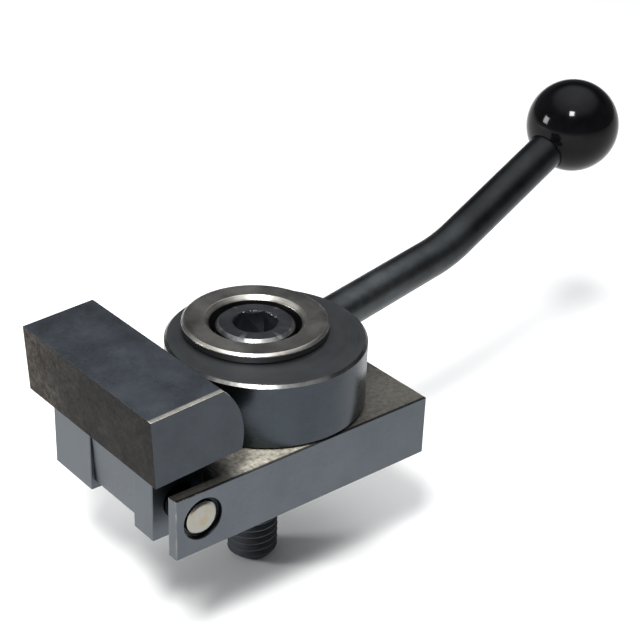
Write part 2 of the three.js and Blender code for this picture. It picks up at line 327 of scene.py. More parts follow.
def soften(obj, width, segments=3, sharper_than=25):
    """Breaks the sharp edges with a small round, and shades the rest smooth."""
    activate(obj)
    step = obj.modifiers.new("edge_break", "BEVEL")
    step.width = width
    step.segments = segments
    step.limit_method = "ANGLE"
    step.angle_limit = math.radians(sharper_than)
    step.miter_outer = "MITER_ARC"
    bpy.ops.object.modifier_apply(modifier=step.name)
    smooth(obj)
    return obj


def smooth(obj, sharper_than=30):
    """Shades the rounds smooth and keeps the flats flat."""
    activate(obj)
    bpy.ops.object.shade_smooth_by_angle(angle=math.radians(sharper_than))
    step = obj.modifiers.new("flat_faces", "WEIGHTED_NORMAL")
    step.keep_sharp = True
    bpy.ops.object.modifier_apply(modifier=step.name)
    return obj


def finish_piece(obj, body, node_name, finish):
    """Gives a piece its finish and its body, and hides the CAD node that it stands for."""
    obj.data.materials.clear()
    obj.data.materials.append(finish)
    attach(obj, body)
    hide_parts(node_name)
    deselect()
    return obj


# ---- Finishes ----

def node(tree, kind, inputs=(), output=0, **settings):
    """Adds a shader node with its settings, sets or links its inputs, and gives one output."""
    made = tree.nodes.new("ShaderNode" + kind)
    for key, value in settings.items():
        setattr(made, key, value)
    for key, value in dict(inputs).items():
        if isinstance(value, bpy.types.NodeSocket):
            tree.links.new(value, made.inputs[key])
        else:
            made.inputs[key].default_value = value
    return made.outputs[output] if made.outputs else None


def new_finish(name):
    """An empty node material, its tree, and its object coordinates."""
    finish = bpy.data.materials.new(name)
    finish.use_nodes = True
    tree = finish.node_tree
    tree.nodes.clear()
    return finish, tree, node(tree, "TexCoord", output="Object")


def finished(tree, skin, metallic, roughness, relief, specular=0.5):
    """The surface shader, from a colour, a roughness and a relief, and the tree's output."""
    surface = {"Base Color": skin, "Metallic": metallic, "Roughness": roughness}
    surface["Specular IOR Level"] = specular
    if relief is not None:
        surface["Normal"] = relief
    node(tree, "OutputMaterial", {"Surface": node(tree, "BsdfPrincipled", surface)})


def all_of(tree, *masks):
    """1 where every mask is 1. A plain number among the masks is a strength."""
    agreed = masks[0]
    for mask in masks[1:]:
        agreed = node(tree, "Math", {0: agreed, 1: mask}, operation="MULTIPLY")
    return agreed


def coated(tree, skin, coat, *masks):
    """A skin with a coat of another colour where all the masks agree."""
    return node(tree, "MixRGB", {"Fac": all_of(tree, *masks), "Color1": skin, "Color2": coat})


def per_mm(size_mm):
    """The pattern scale that gives features of a size in millimetres."""
    return 1 / (size_mm * MM)


def shade(colour_value, factor):
    """A colour made darker or lighter."""
    return (*[min(1.0, c * factor) for c in colour_value[:3]], 1.0)


def straight_grain(tree, where, along_mm, across_mm):
    """Grinding lines along X: long that way and fine the other two."""
    scale = (per_mm(along_mm), per_mm(across_mm), per_mm(across_mm))
    return node(tree, "Mapping", {"Vector": where, "Scale": scale})


def from_axis(tree, where, centre, axis):
    """The distance from a line through a point along an axis."""
    shifted = node(tree, "VectorMath", {0: where, 1: centre}, operation="SUBTRACT")
    across = node(tree, "VectorMath", {0: shifted, 1: axis}, operation="CROSS_PRODUCT")
    return node(tree, "VectorMath", {0: across}, "Value", operation="LENGTH")


def turned_grain(tree, where, centre, across_mm):
    """Lathe lines: rings on a flat face and hoops on a round side."""
    height = node(tree, "SeparateXYZ", {"Vector": where}, "Z")
    rings = node(tree, "CombineXYZ", {"X": from_axis(tree, where, centre, Z), "Y": height})
    return node(tree, "VectorMath", {0: rings, "Scale": per_mm(across_mm)}, operation="SCALE")


def cloudy(tree, where, size_mm, detail, rough, low=0.3, high=0.7, least=0.0, most=1.0):
    """Clouds of a real size, whose middle range runs from a least to a most."""
    shape = {"Scale": per_mm(size_mm), "Detail": detail, "Roughness": rough}
    clouds = node(tree, "TexNoise", {"Vector": where, **shape})
    spans = {"From Min": low, "From Max": high, "To Min": least, "To Max": most}
    return node(tree, "MapRange", {"Value": clouds, **spans})


def streaky(tree, grain, low=0.3, high=0.7, least=0.0, most=1.0):
    """Fine tool lines that follow a grain, whose middle range runs from a least to a most."""
    lines = node(tree, "TexNoise", {"Vector": grain, "Scale": 1.0, "Detail": 2.0, "Roughness": 0.5})
    spans = {"From Min": low, "From Max": high, "To Min": least, "To Max": most}
    return node(tree, "MapRange", {"Value": lines, **spans})


def patches(tree, where, size_mm, least):
    """Clouds of a size that break up an even finish."""
    return cloudy(tree, where, size_mm, 4.0, 0.65, 0.42, 0.68, least)


def along(tree, where, axis, start, end):
    """Rises from 0 to 1 between two places on an axis."""
    place_there = node(tree, "SeparateXYZ", {"Vector": where}, axis)
    return node(tree, "MapRange", {"Value": place_there, "From Min": start, "From Max": end})


def facing_side(tree, axis, start, end):
    """Rises from 0 to 1 on the faces that look along an axis."""
    normal = node(tree, "NewGeometry", output="True Normal")
    share = node(tree, "SeparateXYZ", {"Vector": normal}, axis)
    return node(tree, "MapRange", {"Value": share, "From Min": start, "From Max": end})


def sloping(tree):
    """1 on the broken edges that slope between a flat top and an upright side."""
    off_the_side = facing_side(tree, "Z", 0.1, 0.2)
    return all_of(tree, off_the_side, facing_side(tree, "Z", 0.99, 0.97))


def upper_rim(tree, where, start, end):
    """1 on the sloping edges above a height."""
    return all_of(tree, sloping(tree), along(tree, where, "Z", start, end))


def corners(tree, reach):
    """1 on the broken edges and next to them, 0 on the open faces."""
    rounded = node(tree, "Bevel", {"Radius": reach}, samples=6)
    normal = node(tree, "NewGeometry", output="True Normal")
    same = node(tree, "VectorMath", {0: rounded, 1: normal}, "Value", operation="DOT_PRODUCT")
    return node(tree, "MapRange", {"Value": same, "From Min": 0.985, "From Max": 0.8})


def oxide_skin(tree, where, oxide, grain, mottle, streaks):
    """The bath's dark skin: soft clouds, the tool's lines showing through, and fine dark pores."""
    tones = {"Color1": shade(oxide, 1 - mottle), "Color2": shade(oxide, 1 + mottle)}
    skin = node(tree, "MixRGB", {"Fac": cloudy(tree, where, 9, 4.0, 0.6), **tones})
    lines = streaky(tree, grain, 0.35, 0.75, most=streaks)
    skin = coated(tree, skin, shade(oxide, 1.7), lines)
    pores = cloudy(tree, where, 0.7, 3.0, 0.7, 0.58, 0.75, most=0.3)
    return coated(tree, skin, shade(oxide, 0.45), pores)


def oxide_gloss(tree, where, grain, roughness):
    """Roughness that drifts with the clouds and is streaked by the tool's lines."""
    lines = streaky(tree, grain, least=roughness - 0.03, most=roughness + 0.03)
    drift = cloudy(tree, where, 9, 4.0, 0.6, least=-0.04, most=0.04)
    return node(tree, "Math", {0: lines, 1: drift}, operation="ADD")


def line_relief(tree, grain, depth):
    """The tool's lines as a very shallow relief."""
    lines = node(tree, "TexNoise", {"Vector": grain, "Scale": 1.0, "Detail": 2.0, "Roughness": 0.5})
    return node(tree, "Bump", {"Height": lines, "Distance": depth, "Strength": 1.0})


def oxide_relief(tree, where, grain, depth):
    """The tool's lines, with the skin's pores in them."""
    pores = node(tree, "TexNoise", {"Vector": where, "Scale": per_mm(0.7), "Detail": 3.0, "Roughness": 0.7})
    deeper = {"Height": pores, "Distance": 1.5 * depth, "Strength": 1.0}
    return node(tree, "Bump", {**deeper, "Normal": line_relief(tree, grain, depth)})


def turned_cam_steel(colours):
    """Turned steel disc, black oxided: smooth blue-grey, its top painted lighter as light from above, and
    its upper rim worn bright and partly a painted highlight.
    """
    finish, tree, where = new_finish("turned_oxided_steel_cam")
    grain = turned_grain(tree, where, (CAM_CENTRE.x, CAM_CENTRE.y, 0), 0.3)
    skin = oxide_skin(tree, where, colours.cam, grain, 0.14, 0.1)
    # Painted light: the upward faces take the lighter top colour, as light falling from above.
    top = facing_side(tree, "Z", 0.8, 0.95)
    skin = coated(tree, skin, colours.cam_lit_top, top)
    # The upper rim's chamfer: worn through the oxide, and partly a painted highlight of the lamp.
    rim = upper_rim(tree, where, CAM_TOP - 1.4 * MM, CAM_TOP - 0.9 * MM)
    skin = coated(tree, skin, colours.worn_steel_and_highlight, rim, patches(tree, where, 9, 0.3), 0.28)
    gloss = oxide_gloss(tree, where, grain, 0.3)
    gloss = node(tree, "Math", {0: top, 1: 0.14, 2: gloss}, operation="MULTIPLY_ADD")
    finished(tree, skin, 1.0, gloss, oxide_relief(tree, where, grain, 0.0015 * MM))
    return finish


def turned_hub_steel(colours):
    """Turned and worn steel hub: brownish grey face, rims worn bright and partly a painted highlight, and
    its flange side painted near-black as shade.
    """
    finish, tree, where = new_finish("turned_worn_steel_hub")
    grain = turned_grain(tree, where, (0, 0, 0), 0.28)
    skin = oxide_skin(tree, where, colours.hub, grain, 0.3, 0.15)
    # Painted shade: the flange's side, below the top, is painted near-black.
    below = along(tree, where, "Z", HUB_TOP - 0.7 * MM, HUB_TOP - 0.85 * MM)
    skin = coated(tree, skin, shade(colours.screw, 0.6), below, 0.85)
    # The rims: worn through the oxide, and partly a painted highlight of the lamp.
    rim = upper_rim(tree, where, HUB_TOP - 1.2 * MM, HUB_TOP - 1.0 * MM)
    skin = coated(tree, skin, colours.worn_steel_and_highlight, rim, patches(tree, where, 9, 0.4), 0.48)
    gloss = oxide_gloss(tree, where, grain, 0.36)
    finished(tree, skin, 1.0, gloss, oxide_relief(tree, where, grain, 0.002 * MM))
    return finish


def black_screw_steel(colours):
    """Heat-treated alloy screw, deep black oxide: its head's rim is rubbed grey by the key and partly a
    painted highlight, and the shank below the base is painted darker as shade.
    """
    finish, tree, where = new_finish("deep_black_oxide_alloy_steel")
    grain = turned_grain(tree, where, (0, 0, 0), 0.3)
    skin = oxide_skin(tree, where, colours.screw, grain, 0.2, 0.1)
    # Painted shade: the shank below the base is painted darker.
    shank = along(tree, where, "Z", 1 * MM, -1 * MM)
    skin = coated(tree, skin, shade(colours.screw, 0.8), shank)
    # The head's outer rim: rubbed grey by the key, and partly a painted highlight of the lamp.
    reach = from_axis(tree, where, (0, 0, 0), Z)
    outer = node(tree, "MapRange", {"Value": reach, "From Min": 7 * MM, "From Max": 7.5 * MM})
    rim = upper_rim(tree, where, SCREW_TOP - 3.7 * MM, SCREW_TOP - 2.7 * MM)
    skin = coated(tree, skin, colours.worn_steel_and_highlight, rim, outer, patches(tree, where, 3, 0.25), 0.25)
    gloss = oxide_gloss(tree, where, grain, 0.36)
    gloss = node(tree, "Math", {0: gloss, 1: along(tree, where, "Z", 1 * MM, -8 * MM)}, operation="ADD")
    gloss = node(tree, "Math", {0: gloss, 1: 0.7}, operation="MINIMUM")
    finished(tree, skin, 1.0, gloss, oxide_relief(tree, where, grain, 0.003 * MM))
    return finish


def gripping_scale(tree, where):
    """Furnace scale on the gripping face: nearly black and brown, paler toward the far end."""
    spots = cloudy(tree, where, 1.8, 5.0, 0.75, 0.4, 0.62)
    dark = node(tree, "MixRGB", {"Fac": spots, "Color1": linear("#040404"), "Color2": linear("#1E1A17")})
    pale = node(tree, "MixRGB", {"Fac": spots, "Color1": linear("#15130F"), "Color2": linear("#4A433B")})
    drift = cloudy(tree, where, 8, 3.0, 0.6, least=-0.35, most=0.35)
    paler = node(tree, "Math", {0: along(tree, where, "Y", 0, 26 * MM), 1: drift}, operation="ADD")
    return node(tree, "MixRGB", {"Fac": paler, "Color1": dark, "Color2": pale})


def jaw_steel(colours):
    """Milled tool-steel jaw, dull black oxide.

    The gripping face keeps its furnace scale. Handling has rubbed the top edge of the near end
    bright, and the tongue below is ground.
    """
    finish, tree, where = new_finish("dull_oxided_tool_steel_jaw")
    grain = straight_grain(tree, where, 0.5, 0.6)
    skin = oxide_skin(tree, where, colours.jaw, grain, 0.16, 0.15)
    # Painted light: the upward faces get the jaw's oxide twice as light, as light falling from above.
    lit_top_skin = oxide_skin(tree, where, shade(colours.jaw, 2.0), grain, 0.2, 0.1)
    skin = coated(tree, skin, lit_top_skin, facing_side(tree, "Z", 0.8, 0.95))
    bar_bottom = 20.2 * MM
    bar_side = 20.8 * MM
    front = facing_side(tree, "X", -0.8, -0.95)
    gripping = all_of(tree, front, along(tree, where, "Z", bar_bottom, bar_side))
    skin = coated(tree, skin, gripping_scale(tree, where), gripping)
    ground = oxide_skin(tree, where, colours.oxide, straight_grain(tree, where, 0.3, 0.3), 0.12, 0.25)
    skin = coated(tree, skin, ground, along(tree, where, "Z", bar_side, bar_bottom))
    near_end = along(tree, where, "Y", JAW_LOW.y + 1.3 * MM, JAW_LOW.y + 0.8 * MM)
    top_edge = along(tree, where, "Z", 37.2 * MM, 37.8 * MM)
    off_the_end = facing_side(tree, "Z", 0.1, 0.2)
    rubbed = patches(tree, where, 8, 0.5)
    skin = coated(tree, skin, colours.worn_steel_and_highlight, near_end, top_edge, off_the_end, rubbed)
    gloss = oxide_gloss(tree, where, grain, 0.46)
    gloss = node(tree, "Math", {0: gripping, 1: 0.12, 2: gloss}, operation="MULTIPLY_ADD")
    finished(tree, skin, 1.0, gloss, oxide_relief(tree, where, grain, 0.006 * MM))
    return finish


def painted_shade_lines(tree, where, top):
    """1 where shade is painted on the base: the top's broken rim and the counterbore round the pin."""
    near_strip = along(tree, where, "Y", BASE_LOW.y + 0.7 * MM, BASE_LOW.y + 0.5 * MM)
    strip = all_of(tree, top, near_strip)
    reach = from_axis(tree, where, PIVOT, Y)
    bored = node(tree, "MapRange", {"Value": reach, "From Min": 5.25 * MM, "From Max": 5.15 * MM})
    in_the_arm = along(tree, where, "Y", BASE_LOW.y + 1.8 * MM, BASE_LOW.y + 1.4 * MM)
    bored = all_of(tree, bored, in_the_arm)
    dark = node(tree, "Math", {0: sloping(tree), 1: strip}, operation="MAXIMUM")
    return node(tree, "Math", {0: dark, 1: bored}, operation="MAXIMUM")


def ground_base_steel(colours):
    """Surface-ground block, oxided, with its top rubbed through to steel beside the jaw.

    The sides keep the grey-blue oxide. The cam has scuffed the top to a pale, frosted steel at
    the jaw's side, which fades to grey-brown towards the lever's side. The top's broken rim and
    the counterbore round the pin are painted near-black as shade.
    """
    finish, tree, where = new_finish("ground_oxided_steel_base")
    grain = straight_grain(tree, where, 14, 0.25)
    skin = oxide_skin(tree, where, colours.oxide, grain, 0.13, 0.16)
    high = along(tree, where, "Z", BASE_HIGH.z - 2 * MM, BASE_HIGH.z - 1 * MM)
    top = all_of(tree, facing_side(tree, "Z", 0.8, 0.95), high)
    drift = cloudy(tree, where, 6, 4.0, 0.65, least=-0.3, most=0.3)
    drift = node(tree, "Math", {0: along(tree, where, "X", -6 * MM, 14 * MM), 1: drift}, operation="ADD")
    scuffed = node(tree, "MapRange", {"Value": drift, "From Min": 0.55, "From Max": 0.1})
    scuffed = all_of(tree, scuffed, along(tree, where, "X", -27 * MM, -22 * MM))
    scratches = cloudy(tree, where, 1.3, 5.0, 0.7, 0.35, 0.65)
    pale_tones = {"Color1": linear("#827E74"), "Color2": linear("#D6D0BF")}
    dull_tones = {"Color1": linear("#837F78"), "Color2": linear("#A5A198")}
    pale = node(tree, "MixRGB", {"Fac": scratches, **pale_tones})
    dull = node(tree, "MixRGB", {"Fac": scratches, **dull_tones})
    skin = coated(tree, skin, coated(tree, dull, pale, scuffed), top)
    # Painted shade: the top's broken rim and the counterbore round the pin are painted near-black.
    skin = coated(tree, skin, shade(colours.oxide, 0.15), painted_shade_lines(tree, where, top), 0.9)
    end = along(tree, where, "X", -35 * MM, -38 * MM)
    arm = along(tree, where, "Y", BASE_LOW.y + 3.6 * MM, BASE_LOW.y + 3.2 * MM)
    rubbed = patches(tree, where, 3, 0.1)
    skin = coated(tree, skin, colours.worn_steel_and_highlight, corners(tree, 0.45 * MM), end, arm, rubbed)
    frosted = all_of(tree, top, scuffed, 0.8)
    metal = node(tree, "Math", {0: 1.0, 1: frosted}, operation="SUBTRACT")
    gloss = oxide_gloss(tree, where, grain, 0.42)
    gloss = node(tree, "Math", {0: frosted, 1: 0.2, 2: gloss}, operation="MULTIPLY_ADD")
    finished(tree, skin, metal, gloss, oxide_relief(tree, where, grain, 0.003 * MM))
    return finish


def polished_pin_steel(colours):
    """Hardened dowel steel: polished bright ends with a faint brown oil stain, and sides painted near-black
    as shade.
    """
    finish, tree, where = new_finish("polished_dowel_steel")
    stain = cloudy(tree, where, 3, 3.0, 0.6, 0.5, 0.7, most=0.7)
    reach = from_axis(tree, where, PIVOT - Z * 0.8 * MM, Y)
    spot = {"From Min": 1.6 * MM, "From Max": 0.6 * MM, "To Max": 0.8}
    middle = node(tree, "MapRange", {"Value": reach, **spot})
    stain = node(tree, "Math", {0: stain, 1: middle}, operation="ADD")
    skin = coated(tree, colours.pin, linear("#8E826A"), stain)
    # Painted shade: the pin's round sides are painted near-black, as shade in the counterbore and the slot.
    normal = node(tree, "NewGeometry", output="True Normal")
    either_way = node(tree, "VectorMath", {0: normal}, operation="ABSOLUTE")
    endwise = node(tree, "SeparateXYZ", {"Vector": either_way}, "Y")
    sides = node(tree, "MapRange", {"Value": endwise, "From Min": 0.5, "From Max": 0.3})
    skin = coated(tree, skin, linear("#313131"), sides)
    gloss = cloudy(tree, where, 0.35, 3.0, 0.6, least=0.16, most=0.3)
    wear = node(tree, "TexNoise", {"Vector": where, "Scale": per_mm(0.35), "Detail": 3.0, "Roughness": 0.6})
    relief = node(tree, "Bump", {"Height": wear, "Distance": 0.003 * MM, "Strength": 1.0})
    finished(tree, skin, 1.0, gloss, relief)
    return finish


def oiled_lever_steel(colours):
    """Drawn bar, bent hot and oil-blackened: nearly black, with a soft sheen on a fine pitted skin."""
    finish, tree, where = new_finish("oil_blackened_drawn_steel")
    tones = {"Color1": shade(colours.lever, 0.7), "Color2": shade(colours.lever, 1.5)}
    skin = node(tree, "MixRGB", {"Fac": cloudy(tree, where, 7, 4.0, 0.6), **tones})
    # Painted shade: the upper run, from 45 mm along X, is painted darker than the run by the disc.
    shaded_upper_run = along(tree, where, "X", 45 * MM, 72 * MM)
    skin = coated(tree, skin, shade(colours.lever, 0.2), shaded_upper_run, 0.82)
    pitted = cloudy(tree, where, 0.6, 4.0, 0.7, least=0.3, most=0.42)
    drift = cloudy(tree, where, 7, 4.0, 0.6, least=-0.05, most=0.05)
    gloss = node(tree, "Math", {0: pitted, 1: drift}, operation="ADD")
    clouds = node(tree, "TexNoise", {"Vector": where, "Scale": per_mm(7), "Detail": 4.0, "Roughness": 0.6})
    pits = node(tree, "TexNoise", {"Vector": where, "Scale": per_mm(0.6), "Detail": 4.0, "Roughness": 0.7})
    waves = node(tree, "Bump", {"Height": clouds, "Distance": 0.08 * MM, "Strength": 1.0})
    relief = node(tree, "Bump", {"Height": pits, "Distance": 0.012 * MM, "Strength": 1.0, "Normal": waves})
    finished(tree, skin, 0.9, gloss, relief)
    return finish


def moulded_phenolic(colours):
    """Phenolic resin, moulded and tumbled to a deep gloss: black, with the faintest orange peel."""
    finish, tree, where = new_finish("moulded_black_phenolic")
    tones = {"Color1": colours.knob, "Color2": shade(colours.knob, 1.8)}
    skin = node(tree, "MixRGB", {"Fac": cloudy(tree, where, 3, 2.0, 0.4), **tones})
    gloss = cloudy(tree, where, 0.5, 3.0, 0.6, 0.3, 0.75, 0.06, 0.13)
    peel = node(tree, "TexNoise", {"Vector": where, "Scale": per_mm(3), "Detail": 2.0, "Roughness": 0.4})
    relief = node(tree, "Bump", {"Height": peel, "Distance": 0.01 * MM, "Strength": 1.0})
    finished(tree, skin, 0.0, gloss, relief, specular=0.13)
    return finish


def drawn_spring_steel():
    """Drawn music wire and its plunger: grey, with fine die lines and a film of oil."""
    finish, tree, where = new_finish("drawn_spring_steel")
    grain = straight_grain(tree, where, 6, 0.15)
    tones = {"Color1": linear("#7C7F82"), "Color2": linear("#A5A7A8")}
    skin = node(tree, "MixRGB", {"Fac": streaky(tree, grain), **tones})
    gloss = streaky(tree, grain, least=0.25, most=0.4)
    finished(tree, skin, 1.0, gloss, line_relief(tree, grain, 0.003 * MM))
    return finish


def turned_brass():
    """Free-cutting brass bush: warm yellow, with close lathe rings and dull patches."""
    finish, tree, where = new_finish("turned_brass_bush")
    grain = turned_grain(tree, where, KNOB_CENTRE, 0.2)
    tones = {"Color1": linear("#B8924A"), "Color2": linear("#8A6A34")}
    skin = node(tree, "MixRGB", {"Fac": cloudy(tree, where, 2, 3.0, 0.6, 0.35), **tones})
    gloss = streaky(tree, grain, least=0.22, most=0.4)
    finished(tree, skin, 1.0, gloss, line_relief(tree, grain, 0.004 * MM))
    return finish


def pale_floor(colours):
    """Matt laminate board: near white, with a very slight unevenness."""
    finish, tree, where = new_finish("pale_matt_board")
    tones = {"Color1": colours.floor, "Color2": shade(colours.floor, 0.97)}
    skin = node(tree, "MixRGB", {"Fac": cloudy(tree, where, 400, 3.0, 0.5), **tones})
    finished(tree, skin, 0.0, 0.9, None, specular=0.1)
    return finish


# ---- Pieces ----

class EDGECLAMP_OT_base(bpy.types.Operator):
    """Mills the base block: tongue slot, side slot, bolt hole, pin holes and spring bore"""

    bl_idname = "edgeclamp.base"
    bl_label = "Base block"

    PIN_FIT = 0.08 * MM
    COUNTERBORE_DEPTH = 1.3 * MM
    SPRING_BORE_R = 2.35 * MM
    SPRING_BORE_Z = 4 * MM
    SPRING_BORE_DEPTH = 12.2 * MM

    def execute(self, context):
        sizes = context.scene.clamp_sizes
        over = 1 * MM
        base = block("base", BASE_LOW, BASE_HIGH)
        front = BASE_LOW.x - over
        tongue_low = (front, -sizes.tongue_slot_near, -over)
        tongue_high = (BASE_LOW.x + sizes.tongue_slot_depth, sizes.tongue_slot_far, BASE_HIGH.z + over)
        combine(base, block("tongue_slot", tongue_low, tongue_high), "DIFFERENCE")
        slot_near = BASE_LOW.y + sizes.side_arm
        slot_far = slot_near + sizes.side_slot_width
        side_low = (front, slot_near, -over)
        side_high = (BASE_LOW.x + sizes.side_slot_depth, slot_far, BASE_HIGH.z + over)
        combine(base, block("side_slot", side_low, side_high), "DIFFERENCE")
        bolt_low = Vector((0, 0, -over))
        bolt_high = Vector((0, 0, BASE_HIGH.z + over))
        combine(base, bar("bolt_hole", sizes.bolt_hole_r, bolt_low, bolt_high), "DIFFERENCE")
        far = PIVOT + Y * (BASE_HIGH.y + over)
        near = PIVOT + Y * (BASE_LOW.y - over)
        combine(base, bar("pin_hole", PIN_R + self.PIN_FIT, near, far), "DIFFERENCE")
        bottom = PIVOT + Y * (BASE_LOW.y + self.COUNTERBORE_DEPTH)
        combine(base, bar("arm_counterbore", sizes.thin_arm_hole_r, near, bottom), "DIFFERENCE")
        bore_y = (sizes.tongue_slot_far - sizes.tongue_slot_near) / 2
        bore_start = Vector((tongue_high[0] - over, bore_y, self.SPRING_BORE_Z))
        bore_end = bore_start + X * (over + self.SPRING_BORE_DEPTH)
        combine(base, bar("spring_bore", self.SPRING_BORE_R, bore_start, bore_end, 48), "DIFFERENCE")
        soften(base, sizes.edge_break)
        finish = ground_base_steel(context.scene.clamp_colours)
        finish_piece(base, "base", "base_block", finish)
        return {"FINISHED"}


class EDGECLAMP_OT_jaw(bpy.types.Operator):
    """Shapes the swing jaw: overhanging nose, convex back and tongue, leaning at rest"""

    bl_idname = "edgeclamp.jaw"
    bl_label = "Swing jaw"

    FRONT = -11.5 * MM
    BOTTOM = 13.4 * MM
    TOP = 30.3 * MM
    BACK_AXIS = Vector((-4.9, 0, 18.4)) * MM
    HEEL_ROUND = 1.1 * MM
    PIN_CLEARANCE = 0.2 * MM
    LONGER = 0.7 * MM

    def execute(self, context):
        sizes = context.scene.clamp_sizes
        near, far = JAW_LOW.y, JAW_HIGH.y + self.LONGER
        jaw = block("jaw", (self.FRONT, near, self.BOTTOM), (sizes.jaw_back_r, far, self.TOP))
        back = bar("jaw_back", sizes.jaw_back_r, self.BACK_AXIS + Y * (near - MM),
                   self.BACK_AXIS + Y * (far + MM), 256)
        combine(jaw, back, "INTERSECT")
        select_edges(jaw, lambda a, b: self.is_heel(a) and self.is_heel(b))
        bpy.ops.mesh.bevel(offset=self.HEEL_ROUND, segments=4, affect="EDGES")
        leave_edit()
        combine(jaw, self.tongue(sizes), "UNION")
        hole = bar("jaw_pin_hole", PIN_R + self.PIN_CLEARANCE, Y * (near - MM), Y * (far + MM))
        combine(jaw, hole, "DIFFERENCE")
        soften(jaw, sizes.edge_break)
        place(jaw, PIVOT, (0, -sizes.jaw_lean, 0))
        finish = jaw_steel(context.scene.clamp_colours)
        finish_piece(jaw, "jaw", "swing_jaw", finish)
        return {"FINISHED"}

    def is_heel(self, point):
        return point.z < self.BOTTOM + 0.01 * MM and point.x > 5 * MM

    def tongue(self, sizes):
        gap = 0.25 * MM
        low = Vector((-6.4 * MM, gap - sizes.tongue_slot_near, -7.5 * MM))
        high = Vector((5.2 * MM, sizes.tongue_slot_far - gap, self.BOTTOM + MM))
        made = block("tongue", low, high)
        select_edges(made, lambda a, b: a.z < 0 and b.z < 0 and abs(a.x - b.x) < MM)
        bpy.ops.mesh.bevel(offset=1.5 * MM, segments=1, affect="EDGES")
        leave_edit()
        return made


class EDGECLAMP_OT_pin(bpy.types.Operator):
    """Turns the pivot pin, with a domed and polished near end"""

    bl_idname = "edgeclamp.pin"
    bl_label = "Pivot pin"

    def execute(self, context):
        span = PIN_HIGH.y - PIN_LOW.y
        dome = [(0, 0), (1.2, 0.03), (2.3, 0.1), (3.1, 0.2), (3.5, 0.3)]
        outline = [(r * MM, h * MM) for r, h in dome]
        outline += [(PIN_R, 0.65 * MM), (PIN_R, span - 0.8 * MM), (PIN_R - 0.8 * MM, span), (0, span)]
        pin = turned("pin", outline, 96)
        place(pin, (PIVOT.x, PIN_LOW.y - 0.35 * MM, PIVOT.z), (-math.pi / 2, 0, 0))
        smooth(pin)
        finish = polished_pin_steel(context.scene.clamp_colours)
        finish_piece(pin, "base", "pivot_pin", finish)
        return {"FINISHED"}


class EDGECLAMP_OT_hub(bpy.types.Operator):
    """Turns the flanged hub that carries the cam disc, with its deep counterbore"""

    bl_idname = "edgeclamp.hub"
    bl_label = "Flanged hub"

    def execute(self, context):
        sizes = context.scene.clamp_sizes
        bevel = sizes.hub_chamfer
        bore_r, sleeve_r = 11.1 * MM, 13.5 * MM
        floor_z = 20.6 * MM
        flange_z = CAM_TOP + 0.3 * MM
        top = HUB_TOP
        hub = turned("hub", [
            (sizes.bolt_hole_r, HUB_LOW.z),
            (sleeve_r, HUB_LOW.z),
            (sleeve_r, flange_z),
            (HUB_FLANGE_R, flange_z),
            (HUB_FLANGE_R, top - bevel),
            (HUB_FLANGE_R - bevel, top),
            (bore_r + 1.0 * MM, top),
            (bore_r, top - 1.1 * MM),
            (bore_r, floor_z),
            (sizes.bolt_hole_r, floor_z),
            (sizes.bolt_hole_r, HUB_LOW.z),
        ])
        soften(hub, 0.12 * MM, 2)
        finish = turned_hub_steel(context.scene.clamp_colours)
        finish_piece(hub, "base", "hub_bushing", finish)
        return {"FINISHED"}


